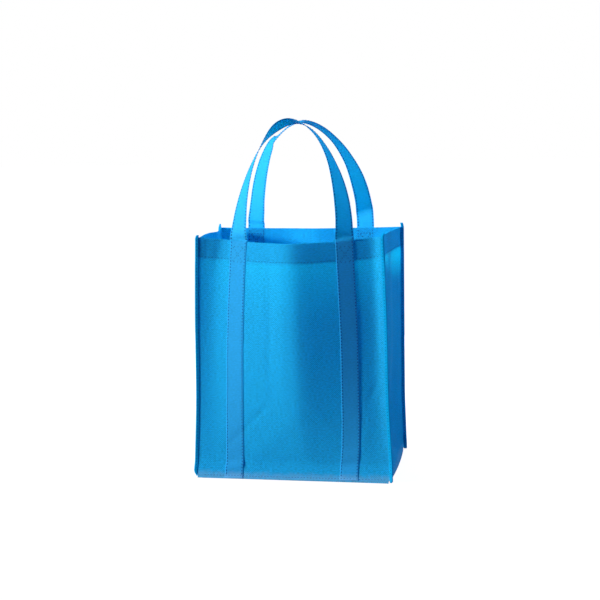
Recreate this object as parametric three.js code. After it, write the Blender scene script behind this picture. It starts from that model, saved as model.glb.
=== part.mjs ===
// A non-woven shopping bag standing open and empty, in millimetres, with +Z up.
// The origin is the middle of the bag's foot on the floor, and the front panel faces -Y.
// Five flat-cut panels are sewn together, two long straps make the handles,
// and a folded tape binds each of the four upright corner seams.
import * as THREE from 'three';

// Cut sizes of the cloth
const panelWidth = 314;          // front and back panels, between their two corner seams
const panelHeight = 390;         // from the bottom seam up to the folded rim
const bagDepth = 203;            // between the front and back corner seams
const sideSeam = 8;              // cloth outside the stitching of an upright corner seam
const bottomSeam = 6;            // cloth outside the stitching along the front and back bottom edges
const leftCornerRadius = 13;     // lower corners of the front and back panels, well rounded on the left
const rightCornerRadius = 5;     // and nearly square on the right
const lapHeight = 8;             // side edges of the bottom panel, turned up inside the gussets
const hemHeight = 36;            // rim of each panel, folded to the inside
const clothThickness = 0.5;
const layerGap = 0.3;            // air between two layers that lie on each other

// Handle straps
const strapWidth = 30;
const strapThickness = 1.5;
const footSpacing = 194;         // between the middles of a strap's two legs, at the foot of the panel
const handleRise = 190.5;        // top of a handle loop above the rim, measured along its lean
const archPower = 1.97;          // 2 is a half ellipse, less is more pointed
const leanPower = 1.7;           // a loop stands upright at the rim and leans more towards its top
const quarterTurn = Math.PI / 2; // a strap lies flat on the panel and edge-on at the top of its loop

// Binding tape
const bindingInner = 1;          // clear of the corner, so that the tape's legs miss the gusset wall
const bindingProud = 7;          // raw tape end above the rim

// How the cloth stands
const bottomSeamSlope = THREE.MathUtils.degToRad(50); // bottom seam edge, tucked down to the floor
const bottomFlare = 4;           // the foot of the front and back panels kicks out to the seam
const flareHeight = 28;
const footRamp = 26;             // the bottom panel lifts off the floor this far inside the seam
const gussetPinch = 12;          // centre crease of a gusset, drawn inwards
const foldHeight = 60;           // triangular fold at the foot of the gusset crease
const gussetBelly = 6;           // the foot of a gusset, pushed outwards between its seams
const hemBlend = 12;             // corner seams thicken to the hem's layers over this height
const hemLayers = 2;             // layers that the two hems add inside a corner seam
const stiffEdge = 4;             // a panel stays flat this far inside its corner seams
const rimPull = 3;               // power of the height at which a strap's legs draw together

// The front rim bows out between its straps and sags; the back stands nearly flat.
// The legs of each strap draw together towards the rim, and stand a little off the middle.
const frontPanel = {
  side: -1, bulge: 14, hollow: 6, sag: 12, rimInset: 12.5, rimSpacing: 187, strapShift: 3.6,
};
const backPanel = {
  side: 1, bulge: 6, hollow: 4, sag: 2, rimInset: 2, rimSpacing: 194, strapShift: -1.1,
};

// Both loops lean in over the bag, and the back one sways to the side. The inner edge of the front loop
// turns outwards as it rises, past the quarter turn just before its top; that of the back turns inwards.
const frontLoop = {
  panel: frontPanel, lean: 28, sway: 0, turn: 1, overturn: 20, twist: (share) => 1 - (1 - share) ** 2,
};
const backLoop = {
  panel: backPanel, lean: 45, sway: 7, turn: -1, overturn: 0, twist: (share) => share,
};
const overturnAt = 0.46;         // share of the way along the loop
const overturnSpan = 0.07;

// Fineness of the grids
const cornerSteps = 4;
const flareSteps = 3;
const wallSteps = 5;
const hemSteps = 2;
const bayCells = 3;
const bottomCells = 12;
const gussetCells = 4;           // from a corner seam to the crease, and up the fold at its foot
const archSteps = 36;

const layerPitch = clothThickness + layerGap;
const halfWidth = panelWidth / 2;
const hemLine = panelHeight - hemHeight;
const seamDrop = bottomSeam * Math.sin(bottomSeamSlope);
const seamHeight = seamDrop + (layerPitch + clothThickness / 2) * Math.cos(bottomSeamSlope);
const strapLift = clothThickness / 2 + layerGap + strapThickness / 2;

const { lerp, smoothstep } = THREE.MathUtils;

const bodyCloth = new THREE.MeshStandardMaterial({ color: 0x1c96dc, roughness: 0.8, metalness: 0 });
const strapCloth = new THREE.MeshStandardMaterial({ color: 0x1a86cb, roughness: 0.8, metalness: 0 });
const bindingCloth = new THREE.MeshStandardMaterial({ color: 0x1674b6, roughness: 0.8, metalness: 0 });

// Evenly spread values from one end to the other, both ends included.
function spread(from, to, steps) {
  return Array.from({ length: steps + 1 }, (_, step) => lerp(from, to, step / steps));
}

// Values in rising order, each at least half a layer from the one before.
function inOrder(values) {
  const sorted = [...values].sort((a, b) => a - b);
  return sorted.filter((value, index) => index === 0 || value - sorted[index - 1] > layerPitch / 2);
}

// Heights of the grid rows above the bottom seam, shared by every upright piece.
const cornerRows = spread(0, quarterTurn, cornerSteps).map(
  (angle) => leftCornerRadius * (1 - Math.cos(angle)) - bottomSeam,
);
const foldTop = lapHeight + foldHeight;
const rowHeights = inOrder([
  ...cornerRows,
  ...spread(0, flareHeight, flareSteps),
  ...spread(lapHeight, foldTop, gussetCells),
  ...spread(foldTop, hemLine - hemBlend, wallSteps),
  ...spread(hemLine, panelHeight, hemSteps),
]);

// Distance of a panel from the bag's middle plane, measured at its corner seams.
function seamDepth(up) {
  return bagDepth / 2 + bottomFlare * (1 - smoothstep(up, 0, flareHeight));
}

// Distance of a panel's corner seam from the bag's centre line.
function cornerX(panel, up) {
  return halfWidth - (panel.rimInset * Math.max(0, up)) / panelHeight;
}

// Radius of the lower panel corners on the bag's left (-1) or right (1).
function cornerRadius(side) {
  return side < 0 ? leftCornerRadius : rightCornerRadius;
}

// Half the width of a panel with its seam edge, rounded off at the lower corner.
function panelReach(side, up) {
  const radius = cornerRadius(side);
  const below = Math.max(0, radius - bottomSeam - up);
  return halfWidth + sideSeam - radius + Math.sqrt(Math.max(0, radius ** 2 - below ** 2));
}

// Middle of a strap's left (-1) or right (1) leg on the flat panel, as seen from outside the bag.
function legCentre(panel, leg, up) {
  const level = Math.max(0, up) / panelHeight;
  return (leg * lerp(footSpacing, panel.rimSpacing, level ** rimPull)) / 2 + panel.strapShift * level;
}

// The outer edge, the middle and the inner edge of a strap's leg on the flat panel.
function legEdges(panel, leg, up) {
  const centre = legCentre(panel, leg, up);
  return [centre + (leg * strapWidth) / 2, centre, centre - (leg * strapWidth) / 2];
}

// Height of the bottom panel at a distance from the bag's middle plane.
function floorLift(depth) {
  const flat = clothThickness / 2;
  const seam = seamHeight - layerPitch * Math.cos(bottomSeamSlope);
  const end = seamDepth(0);
  return lerp(flat, seam, smoothstep(Math.abs(depth), end - footRamp, end));
}

// Gap between a panel and the gusset edge sewn behind it, wider where both are hemmed.
function seamLayers(up) {
  return layerPitch * (1 + hemLayers * smoothstep(up, hemLine - hemBlend, hemLine));
}

// A spot on a front or back panel; across runs to the right as seen from outside the bag.
// The panel swells most in its middle and is hollow beside its straps.
function panelPoint(panel, across, up) {
  const share = Math.min(1, Math.abs(across) / (halfWidth - stiffEdge));
  const level = Math.max(0, up) / panelHeight;
  const grown = Math.sin(level * quarterTurn);
  const crown = (1 - share ** 2) ** 2;
  const besideStraps = (4 * share ** 2 * (1 - share ** 2)) ** 2;
  const swell = grown * (panel.bulge * crown - panel.hollow * besideStraps);
  const seamEdge = Math.max(0, Math.abs(across) - halfWidth);
  const below = Math.max(0, -up);
  const inner = Math.min(1, Math.abs(across) / halfWidth) * cornerX(panel, up);
  const x = Math.sign(across) * (inner + seamEdge);
  const y = seamDepth(up) + swell + below * Math.cos(bottomSeamSlope);
  const z = seamHeight + Math.max(0, up) - panel.sag * level ** 2 * crown;
  return new THREE.Vector3(
    -panel.side * x,
    panel.side * y,
    z - below * Math.sin(bottomSeamSlope),
  );
}

// A spot on a gusset; share runs from -1 at the front seam to 1 at the back seam.
function gussetPoint(side, share, edge, up) {
  const y = share * (seamDepth(up) - seamLayers(up));
  const seam = lerp(cornerX(frontPanel, up), cornerX(backPanel, up), (share + 1) / 2);
  const fold = Math.min(1 - Math.abs(share), Math.max(0, up - lapHeight) / foldHeight);
  const belly = gussetBelly * (1 - share ** 2) * (1 - smoothstep(up, 0, foldHeight));
  const x = seam + belly - gussetPinch * fold + edge * (panelReach(side, up) - halfWidth);
  const z = up + lerp(floorLift(y), seamHeight, smoothstep(up, 0, foldHeight));
  return new THREE.Vector3(side * x, y, z);
}

// A grid moved along its own normals, keeping an even distance round bends.
function offsetGrid(grid, distance) {
  const normals = grid.slice(0, -1).map((row, r) => row.slice(0, -1).map((spot, c) => {
    const rising = new THREE.Vector3().subVectors(grid[r + 1][c + 1], spot);
    const falling = new THREE.Vector3().subVectors(grid[r + 1][c], row[c + 1]);
    return rising.cross(falling).normalize();
  }));
  return grid.map((row, r) => row.map((spot, c) => {
    const around = [[r - 1, c - 1], [r - 1, c], [r, c - 1], [r, c]]
      .map(([cellRow, cellColumn]) => normals[cellRow]?.[cellColumn])
      .filter((normal) => normal !== undefined);
    const middle = new THREE.Vector3();
    around.forEach((normal) => middle.add(normal));
    middle.normalize();
    const facing = around.reduce((sum, normal) => sum + normal.dot(middle), 0) / around.length;
    return spot.clone().addScaledVector(middle, distance / facing);
  }));
}

// A closed sheet with the grid in its middle. Both faces are cut into the same triangles,
// and the cut leans the other way from the column turnAt on, to follow a folded crease.
function sheetMesh(name, grid, thickness, material, turnAt = Infinity) {
  const rows = grid.length - 1;
  const columns = grid[0].length - 1;
  const faces = [offsetGrid(grid, thickness / 2), offsetGrid(grid, -thickness / 2)];
  const perFace = (rows + 1) * (columns + 1);
  const corner = (face, row, column) => face * perFace + row * (columns + 1) + column;
  const triangles = [];
  const addQuad = (a, b, c, d) => triangles.push(a, b, c, a, c, d);
  for (let row = 0; row < rows; row += 1) {
    for (let column = 0; column < columns; column += 1) {
      const [front, back] = [0, 1].map((face) => [
        corner(face, row, column),
        corner(face, row, column + 1),
        corner(face, row + 1, column + 1),
        corner(face, row + 1, column),
      ]);
      const [a, b, c, d] = front;
      const [e, f, g, h] = back;
      if (column < turnAt) {
        addQuad(a, b, c, d);
        addQuad(e, h, g, f);
      } else {
        addQuad(b, c, d, a);
        addQuad(f, e, h, g);
      }
    }
  }
  const addEdge = ([row, column], [nextRow, nextColumn]) => addQuad(
    corner(0, row, column),
    corner(1, row, column),
    corner(1, nextRow, nextColumn),
    corner(0, nextRow, nextColumn),
  );
  for (let column = 0; column < columns; column += 1) {
    addEdge([0, column], [0, column + 1]);
    addEdge([rows, column + 1], [rows, column]);
  }
  for (let row = 0; row < rows; row += 1) {
    addEdge([row + 1, 0], [row, 0]);
    addEdge([row, columns], [row + 1, columns]);
  }
  const sheet = new THREE.BufferGeometry().setFromPoints(faces.flat(2));
  sheet.setIndex(triangles);
  sheet.computeVertexNormals();
  const mesh = new THREE.Mesh(sheet, material);
  mesh.name = name;
  return mesh;
}

// The rim of a grid folded over to the inside and laid down as far as the hem line.
function foldHem(grid, heights) {
  const lining = offsetGrid(grid, -layerPitch);
  const rim = grid[grid.length - 1];
  const liningRim = lining[lining.length - 1];
  const fold = rim.map((spot, column) => {
    const top = spot.clone().lerp(liningRim[column], 0.5);
    top.z += layerPitch / 2;
    return top;
  });
  const hem = lining.filter((row, index) => heights[index] >= hemLine - layerPitch / 2).reverse();
  return [...grid, fold, ...hem];
}

// One half of a row of a panel's grid, from beside its middle out to its seam edge.
function halfRow(panel, leg, up) {
  const [outer, centre, inner] = legEdges(panel, leg, up);
  const full = leg * (halfWidth + sideSeam);
  const reach = leg * panelReach(-panel.side * leg, up);
  const beyond = [...spread(outer, leg * (halfWidth - stiffEdge), bayCells), leg * halfWidth, full];
  const trimmed = beyond.map((across) => lerp(outer, reach, (across - outer) / (full - outer)));
  return [...spread(0, inner, bayCells).slice(1), centre, ...trimmed];
}

// Front or back panel with its hem and its seam edges.
function makePanel(name, panel) {
  const grid = rowHeights.map((up) => {
    const row = [...halfRow(panel, -1, up).reverse(), 0, ...halfRow(panel, 1, up)];
    return row.map((across) => panelPoint(panel, across, up));
  });
  return sheetMesh(name, foldHem(grid, rowHeights), clothThickness, bodyCloth);
}

// Left or right gusset with its hem, its centre crease and the two edges sewn to the panels.
function makeGusset(name, side) {
  const heights = rowHeights.filter((up) => up >= 0);
  const shares = spread(-1, 1, 2 * gussetCells);
  const columns = [[-1, 1], ...shares.map((share) => [share, 0]), [1, 1]];
  if (side < 0) columns.reverse();
  const grid = heights.map((up) => columns.map(([share, edge]) => gussetPoint(side, share, edge, up)));
  return sheetMesh(name, foldHem(grid, heights), clothThickness, bodyCloth, gussetCells + 1);
}

// Bottom panel: flat on the floor, lifted to the front and back seams, its sides lapped up inside.
function makeBottomPanel() {
  const reach = seamDepth(0) - layerPitch * Math.sin(bottomSeamSlope);
  const tip = reach + bottomSeam * Math.cos(bottomSeamSlope);
  const flatReach = reach - footRamp;
  const depths = [...spread(0, flatReach, bayCells), ...spread(flatReach, reach, bayCells).slice(1, -1)];
  const shares = spread(-1, 1, bottomCells);
  const besideGusset = (depth, up) => {
    const share = depth / (seamDepth(up) - seamLayers(up));
    return gussetPoint(1, share, 0, up).x - layerPitch;
  };
  const seamRow = (depth, drop) => {
    const z = floorLift(reach) - drop;
    const edge = halfWidth - layerPitch;
    const row = shares.map((share) => new THREE.Vector3(share * (edge - layerPitch), depth, z));
    return [new THREE.Vector3(-edge, depth, z), ...row, new THREE.Vector3(edge, depth, z)];
  };
  const lappedRow = (depth) => {
    const z = floorLift(depth);
    const lap = lapHeight * (1 - smoothstep(Math.abs(depth), flatReach, reach));
    const edge = besideGusset(depth, 0);
    const top = besideGusset(depth, lap);
    const row = shares.map((share) => new THREE.Vector3(share * edge, depth, z));
    return [new THREE.Vector3(-top, depth, z + lap), ...row, new THREE.Vector3(top, depth, z + lap)];
  };
  const grid = [
    seamRow(tip, seamDrop),
    seamRow(reach, 0),
    ...depths.slice(1).reverse().map(lappedRow),
    ...depths.map((depth) => lappedRow(-depth)),
    seamRow(-reach, 0),
    seamRow(-tip, seamDrop),
  ];
  return sheetMesh('bottom_panel', grid, clothThickness, bodyCloth);
}

// The standing loop of a handle, from the rim at one leg over to the rim at the other.
class HandleArch extends THREE.Curve {
  constructor(start, end, { panel, lean, sway }) {
    super();
    this.start = start;
    this.end = end;
    this.rise = Math.sqrt(handleRise ** 2 - lean ** 2);
    this.tilt = new THREE.Vector3(-panel.side * sway, -panel.side * lean, 0);
  }

  getPoint(t, target = new THREE.Vector3()) {
    const angle = t * Math.PI;
    const spanned = Math.sign(Math.cos(angle)) * Math.abs(Math.cos(angle)) ** (2 / archPower);
    const risen = Math.abs(Math.sin(angle)) ** (2 / archPower);
    target.lerpVectors(this.start, this.end, (1 - spanned) / 2);
    target.addScaledVector(this.tilt, risen ** leanPower);
    target.z += this.rise * risen;
    return target;
  }
}

// One strap: up the panel from the bottom seam, over as the handle loop, and down again.
function makeStrap(name, handle) {
  const { panel, turn, overturn, twist } = handle;
  const onPanel = (leg) => rowHeights.map(
    (up) => legEdges(panel, leg, up).map((across) => panelPoint(panel, across, up)),
  );
  const rising = offsetGrid(onPanel(-1), strapLift);
  const falling = offsetGrid(onPanel(1).reverse(), strapLift);
  const arch = new HandleArch(rising[rising.length - 1][1], falling[0][1], handle);
  const inwards = new THREE.Vector3(0, -panel.side, 0);
  const loop = spread(0, 1, archSteps).slice(1, -1).map((along) => {
    const centre = arch.getPointAt(along);
    const tangent = arch.getTangentAt(along);
    const inner = new THREE.Vector3().crossVectors(inwards, tangent).normalize();
    const outwards = new THREE.Vector3().crossVectors(inner, tangent);
    const past = overturn * Math.exp(-(((along - overturnAt) / overturnSpan) ** 2));
    const angle = quarterTurn * twist(1 - Math.abs(1 - 2 * along)) + THREE.MathUtils.degToRad(past);
    const width = inner.multiplyScalar(Math.cos(angle)).addScaledVector(outwards, turn * Math.sin(angle));
    return [-1, 0, 1].map((share) => centre.clone().addScaledVector(width, (share * strapWidth) / 2));
  });
  return sheetMesh(name, [...rising, ...loop, ...falling], strapThickness, strapCloth);
}

// Tape folded round the two seam edges of an upright corner, its raw end left proud of the rim.
function makeBinding(name, panel, side) {
  const foot = Math.max(0, cornerRadius(side) - bottomSeam);
  const heights = [...rowHeights.filter((up) => up >= foot), panelHeight + bindingProud];
  const grid = heights.map((up) => {
    const inner = cornerX(panel, up) + bindingInner;
    const outer = cornerX(panel, up) + sideSeam + layerPitch;
    const outerLeg = seamDepth(up) + layerPitch;
    const innerLeg = seamDepth(up) - seamLayers(up) - layerPitch;
    const section = [[inner, outerLeg], [outer, outerLeg], [outer, innerLeg], [inner, innerLeg]];
    if (side * panel.side > 0) section.reverse();
    return section.map(([x, y]) => new THREE.Vector3(side * x, panel.side * y, up + seamHeight));
  });
  return sheetMesh(name, grid, clothThickness, bindingCloth);
}

const bag = new THREE.Group();
bag.add(
  makePanel('front_panel', frontPanel),
  makePanel('back_panel', backPanel),
  makeGusset('left_gusset', -1),
  makeGusset('right_gusset', 1),
  makeBottomPanel(),
  makeStrap('front_handle', frontLoop),
  makeStrap('back_handle', backLoop),
  makeBinding('front_left_binding', frontPanel, -1),
  makeBinding('front_right_binding', frontPanel, 1),
  makeBinding('back_left_binding', backPanel, -1),
  makeBinding('back_right_binding', backPanel, 1),
);

export default bag;
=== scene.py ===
"""A non-woven shopping bag: its cloth, straps, tape and thread laid over the solids, and its stage."""
import math

import bpy
import numpy as np
from bpy.props import FloatProperty, FloatVectorProperty, PointerProperty
from mathutils import Matrix, Quaternion, Vector


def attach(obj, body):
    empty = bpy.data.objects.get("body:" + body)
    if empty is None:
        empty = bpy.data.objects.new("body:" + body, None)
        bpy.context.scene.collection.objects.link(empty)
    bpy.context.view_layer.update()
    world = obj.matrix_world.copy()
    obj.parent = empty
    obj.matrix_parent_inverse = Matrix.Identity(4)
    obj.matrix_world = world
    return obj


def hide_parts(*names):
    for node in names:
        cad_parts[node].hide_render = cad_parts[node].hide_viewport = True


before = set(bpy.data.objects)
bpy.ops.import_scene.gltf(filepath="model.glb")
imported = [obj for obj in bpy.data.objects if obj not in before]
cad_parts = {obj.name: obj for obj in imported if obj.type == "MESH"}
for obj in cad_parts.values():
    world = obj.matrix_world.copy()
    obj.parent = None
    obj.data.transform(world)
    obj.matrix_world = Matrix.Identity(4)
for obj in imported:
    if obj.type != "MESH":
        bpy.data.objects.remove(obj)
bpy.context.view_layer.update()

bl_info = {
    "name": "Shopping bag",
    "version": (1, 0, 0),
    "blender": (4, 5, 0),
    "location": "View3D > Sidebar > Shopping bag",
    "description": "Makes the cloth, straps, tape and thread of a non-woven shopping bag, and its stage",
    "category": "Object",
}

MM = 0.001
BODY = "root"

# How the panels stand, close to the solids
BOTTOM_SLOPE = math.radians(50)   # bottom seam edge, tucked down to the floor
BOTTOM_FLARE = 6.5 * MM           # the foot of the panels kicks out to the seam
FLARE_HEIGHT = 25 * MM
FOOT_RAMP = 26 * MM               # the bottom panel lifts off the floor this far inside the seam
FOOT_TRIM = 0.62                  # the bottom seam's edge is trimmed by this share towards the right
FOOT_DROP = 0.1                   # and hangs lower by this share towards the left
SPREAD_HEIGHT = 110 * MM          # a panel's foot is spread below this height
TRIM_WIDTH = 20 * MM              # a panel narrows to its round corners over this width
STIFF_EDGE = 4 * MM               # a panel's rim doesn't sag this far inside its corner seams
BOW_LEVEL = 0.32                  # corner seams bow in most at this level
BOW_SPAN = 0.24
HEM_BLEND = 12 * MM               # corner seams thicken to the hem's layers over this height
HEM_LAYERS = 2
FIN_LEAN = 0.25                   # corner seams turn forward by this slope
FIN_SOFT = 2 * MM

# How the gussets stand
LEFT_PINCH = 8.5 * MM             # centre crease of a gusset, drawn inwards
RIGHT_PINCH = 2 * MM
LEFT_BULGE = 2.5 * MM             # the left gusset swells out in front of its crease at the rim
BULGE_AT = -0.45
BULGE_SPAN = 0.3
LEFT_CREASE = 0.16                # at the rim the left crease stands behind the middle by this share
CREASE_SPAN = 0.3                 # and is drawn in over this share
TIP_LEVEL = 0.6                   # the left crease tips back above this level
CREASE_ROUND = 0.03               # rounding of a gusset's creases, as a share of its half depth
FOLD_HEIGHT = 60 * MM             # triangular fold at the foot of the crease
GUSSET_BELLY = 3.5 * MM
FOOT_DIP = 8 * MM                 # a gusset dips in above a slanting crease at its foot
DIP_HEIGHT = 60 * MM
DIP_LOW = 4 * MM
DIP_LEVELS = (0.15, 0.55)         # the dip fades between these levels
# Buckles of a gusset: place between its seams, width, height in mm and start below the hem in mm
GUSSET_BUCKLES = ((-0.8, 0.14, -1.2, 10), (-0.2, 0.16, 1.8, 8), (0.2, 0.14, -1.2, 8), (0.65, 0.14, 1.6, 5))
BUCKLE_GROWTH = 22                # a buckle grows over this many mm

# How the straps lie and stand
RIM_PULL = 3                      # a strap's legs change their spacing by this power of the level
KICK_HEIGHT = 60 * MM             # a strap's foot is set aside below this height
LEG_BOW_STARTS = (0.05, 0.3)      # a strap's legs bow apart between these levels
LEG_BOW_ENDS = (0.45, 1)          # and come back between these
FOOT_RISE = 2 * MM                # half the height over which a strap lifts off above the fold at its foot
FOOT_TOP = 3 * MM                 # from here it comes back
FOOT_END = 20 * MM                # and here it lies down
STRAP_GAP = 0.12 * MM
STRAP_EDGE = 5 * MM               # a strap's columns are close together this far inside its edge
STRAP_COLUMNS = (7.5 * MM, 3.8 * MM, 0)
EDGE_PRESS = 0.2 * MM             # a sewn strap's edges are pulled down to the panel
EDGE_ROLL = 0.8 * MM              # a strap thins out to its edges over this width
EDGE_THIN = 0.4                   # by this share
STITCH_GROOVE = 0.3               # and is drawn in along its stitches by this share
GROOVE_WIDTH = 0.8 * MM
GROOVE_SIDE = 0.9 * MM            # a column lies this far inside the stitches
ARCH_POWER = 1.95                 # roundness of a loop
LEAN_POWER = 1.7                  # a loop leans by this power of its rise
KINK_AT = 0.64                    # a kinked loop sags between here and its top
KINK_POWER = 0.6
OVERTURN_AT = 0.46                # a loop turns past its top most here
OVERTURN_SPAN = 0.07
BEND_FADE = 22 * MM               # a bend above the rim fades over this length
TWIST_WINDOW = 9                  # rows over which a loop's twist is smoothed

# How the tapes are cut
TAPE_INNER = 1 * MM
TAPE_ENDS = {                     # raw tape ends: height as a share, bend outwards, narrowing
    "front_left_binding": (0.6, -0.4 * MM, 0.35), "front_right_binding": (1.0, 3.4 * MM, 0.3),
    "back_left_binding": (1.0, 0.8 * MM, 0.7), "back_right_binding": (1.1, -0.8 * MM, 0.2),
}
TAPE_FEET = {                     # lower tape ends, and the height below which they are cut square
    "front_left_binding": (-3.2 * MM, -6 * MM), "front_right_binding": (-4.6 * MM, -6 * MM),
    "back_left_binding": (-2 * MM, -6 * MM), "back_right_binding": (-5 * MM, -1 * MM),
}
TAPE_NARROWING = 1.2              # a raw end narrows by this power of its height

# Sewing
TAPE_STITCH = 2 * MM              # stitches outside a tape's inner edge
HEM_STITCH = 2.6 * MM             # stitches above a hem's lower edge
STRAP_STITCH = 2.2 * MM           # stitches inside a strap's edge
FOOT_STITCH = -1 * MM             # stitches of the bottom seam, below its line
STRAP_THREAD = 0.85               # weight of the stitches along the straps
LOOP_THREAD = 1.6                 # those of the loops are bolder by this
BOX_THREAD = 0.55                 # those of the crossed boxes are finer by this
FINE_THREAD = 0.5                 # weight of the stitches of hems and tapes
STITCH_SINK = 0.98                # strap stitches lie at this share of the strap's half thickness
STITCH_SHOWN = 0.64               # share of the pitch that a stitch covers
STITCH_HEIGHT = 0.6               # a stitch is flatter than its thread is wide
STITCH_DIP = 0.8                  # its ends dip by this share of the thread
STITCH_SIDES = 6
BOX_INSET = 2.6 * MM              # a crossed box lies this far inside the stitches of a strap
BOX_BELOW = 1 * MM                # starts this far below the hem's line
BOX_TOP = 9 * MM                  # and ends this far below the rim
HEM_STEP = 1 * MM                 # a strap's stitches inside the bag step onto the hem over this height
STRAP_CLEAR = 1 * MM              # hem stitches stop this far beside a strap
HEM_END = 3 * MM                  # and this far before a corner
FOOT_ENDS = (8 * MM, 2 * MM)      # the bottom seam's stitches are shorter by this at the left and the right
STRAP_END = 6 * MM                # a strap's stitches stop this far before its ends
RIM_END = 2 * MM                  # stitches stop this far from the rim
LEG_END = 4 * MM                  # a strap's stitches inside the bag start this far above the bottom seam
TAPE_END = 8 * MM                 # and those of the tapes this far above it
GUSSET_END = 0.96                 # share of a gusset that its hem stitches cover

# How finely the sheets are laid
ROW_STEP = 2.6 * MM
PANEL_COLUMNS = 133
GUSSET_COLUMNS = 81
EDGE_COLUMNS = 4
FOLD_ROWS = 6
BOTTOM_ROWS = 85
BOTTOM_COLUMNS = 121
LEG_ROWS = 133
LOOP_ROWS = 151
LOOP_STEPS = 2001
TAPE_ROWS = 150
TAPE_TURN = 9                     # columns round the outer edge of a tape
TAPE_LEG = 5                      # columns on each of its legs
SMALL_STEP = 0.3 * MM             # a step to measure which way a face looks
SMALL_SHARE = 0.002
SMOOTH_ANGLE = math.radians(50)
HEM_SPOTS = 80                    # spots along a line that is sewn
GUSSET_SPOTS = 120
FOOT_SPOTS = 160
STRAP_SPOTS = 300
LOOP_SPOTS = 420
INSIDE_SPOTS = 200
BOX_SPOTS = 40
TAPE_SPOTS = 300

# Looks of the cloth
FIBRE_DRAW = (240, 520, 1)        # fibres across and along the cloth, for a metre of it
FIBRE_RELIEF = 1.4
DOT_RELIEF = 0.35
RELIEF_DEPTH = 0.3 * MM
CLOUD_SCALE = 70.0
CLOUD_TONE = 0.14
CLOTH_ROUGHNESS = 0.62
ROUGHNESS_SPREAD = 0.12
CLOTH_SHINE = 0.02
PAINTED_LIGHT_HEIGHT = 15 * MM           # painted light: the cloth is painted paler below this height, where the foot turns up to the lamps
PAINTED_LIGHT_FULL = 0.3                 # and palest below this share of it
PAINTED_LIGHT_RAGGED = 12 * MM
PAINTED_LIGHT_SHARE = 0.26
PAINTED_LIGHT_COLOUR = (0.6, 0.85, 1, 1)
STRAND_SCALE = 1800.0
THREAD_TONE = (0.75, 0.5)         # darkest tone of the thread, and what its strands add
THREAD_ROUGHNESS = 0.8
THREAD_SHINE = 0.1

# Stage
KEY_DISTANCE = 3
KEY_ANGLE = math.radians(8)
KEY_COLOUR = (1, 0.98, 0.93)
BACK_PLACE = (-0.25, 1.3, 0.55)
BACK_TURN = (-math.pi / 2, 0, 0)
BACK_SIZE = (1.4, 1.2)
SIDE_PLACE = (1.3, 0.1, 0.95)
SIDE_TURN = (0, math.radians(63), 0)
SIDE_SIZE = 0.8
SIDE_COLOUR = (0.5, 0.75, 1)
FILL_COLOUR = (0.16, 0.4, 1, 1)
FLOOR_SIZE = 40
FLOOR_DROP = 0.2 * MM
FLOOR_GLOW = 0.95                 # the floor reads white to the camera
FLOOR_SHOWN = (0.16, 0.16, 0.16, 1)  # and shows it a light shadow
AIM_RIGHT = -2 * MM
AIM_HEIGHT = 281 * MM
SENSOR_WIDTH = 36


def smoothstep(value, low, high):
    """A smooth step from 0 at low to 1 at high."""
    share = np.clip((value - low) / (high - low), 0, 1)
    return share * share * (3 - 2 * share)


def mix(low, high, share):
    """A value between two others."""
    return low + (high - low) * share


def bump_at(value, middle, width):
    """A smooth hump of height 1 round a middle value."""
    return np.exp(-(((value - middle) / width) ** 2))


def unit(vectors):
    """Vectors at length 1."""
    return vectors / np.maximum(np.linalg.norm(vectors, axis=-1, keepdims=True), 1e-12)


def lengths_along(line):
    """Distances along a line of spots, from its first."""
    steps = np.linalg.norm(np.diff(line, axis=0), axis=-1)
    return np.concatenate([[0], np.cumsum(steps)])


def read_along(place, lengths, values):
    """Values that belong to a line's spots, read at places along it."""
    return np.stack([np.interp(place, lengths, values[:, k]) for k in range(3)], axis=-1)


def fin_lean(reach):
    """How far a corner seam turns forward at a distance outside the corner."""
    reach = np.maximum(0, reach)
    return FIN_LEAN * reach * reach / (reach + FIN_SOFT)


def soft_fold(across, at, width):
    """A slope of 1 that starts softly at a fold line."""
    return width * np.logaddexp(0, (across - at) / width)


class SoftFold:
    """An upright fold of a panel: its place at the foot and the rim, its width, turn and growth."""

    def __init__(self, foot, rim, width, turn, full=1.0, drift=1):
        self.foot = foot * MM
        self.rim = rim * MM
        self.width = width * MM
        self.turn = turn
        self.full = full
        self.drift = drift

    def height(self, across, level):
        """How far the fold brings the cloth out at a level, 0 at the foot and 1 at the rim."""
        line = mix(self.foot, self.rim, level**self.drift)
        grown = np.sin(np.minimum(1, level / self.full) * math.pi / 2)
        return self.turn * grown * soft_fold(across, line, self.width)


class Wrinkle:
    """A soft dent or ridge of a panel along a line: its ends (across, up), its width and its height."""

    def __init__(self, start, end, width, height):
        self.start = start
        self.run = (end[0] - start[0], end[1] - start[1])
        self.width = width
        self.height = height * MM

    def at(self, across, up):
        """How far the wrinkle brings the cloth out."""
        length = math.hypot(*self.run)
        right, rise = self.run[0] / length, self.run[1] / length
        x = across / MM - self.start[0]
        z = up / MM - self.start[1]
        along = x * right + z * rise
        aside = z * right - x * rise
        ends = smoothstep(along, 0, length / 3) * (1 - smoothstep(along, length * 2 / 3, length))
        return self.height * ends * bump_at(aside, 0, self.width)


class UprightPanel:
    """How the front or the back panel stands, and where its strap is sewn.

    Lengths are in millimetres. A strap's feet, bow and kick have one value for each leg, the left one first;
    a foot's are how far it stands off, the height of the fold under it and how far that slants."""

    def __init__(self, side, folds, wrinkles, sag, rim_inset, bow, rim_spacing, strap_shift, strap_feet,
                 strap_bow, set_right, foot_kick, foot_spread):
        self.side = side
        self.folds = folds
        self.wrinkles = wrinkles
        self.sag = sag * MM
        self.rim_inset = rim_inset * MM
        self.bow = bow * MM
        self.rim_spacing = rim_spacing * MM
        self.strap_shift = strap_shift * MM
        self.strap_feet = strap_feet
        self.strap_bow = strap_bow
        self.set_right = set_right * MM
        self.foot_kick = foot_kick
        self.foot_spread = foot_spread * MM


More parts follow.
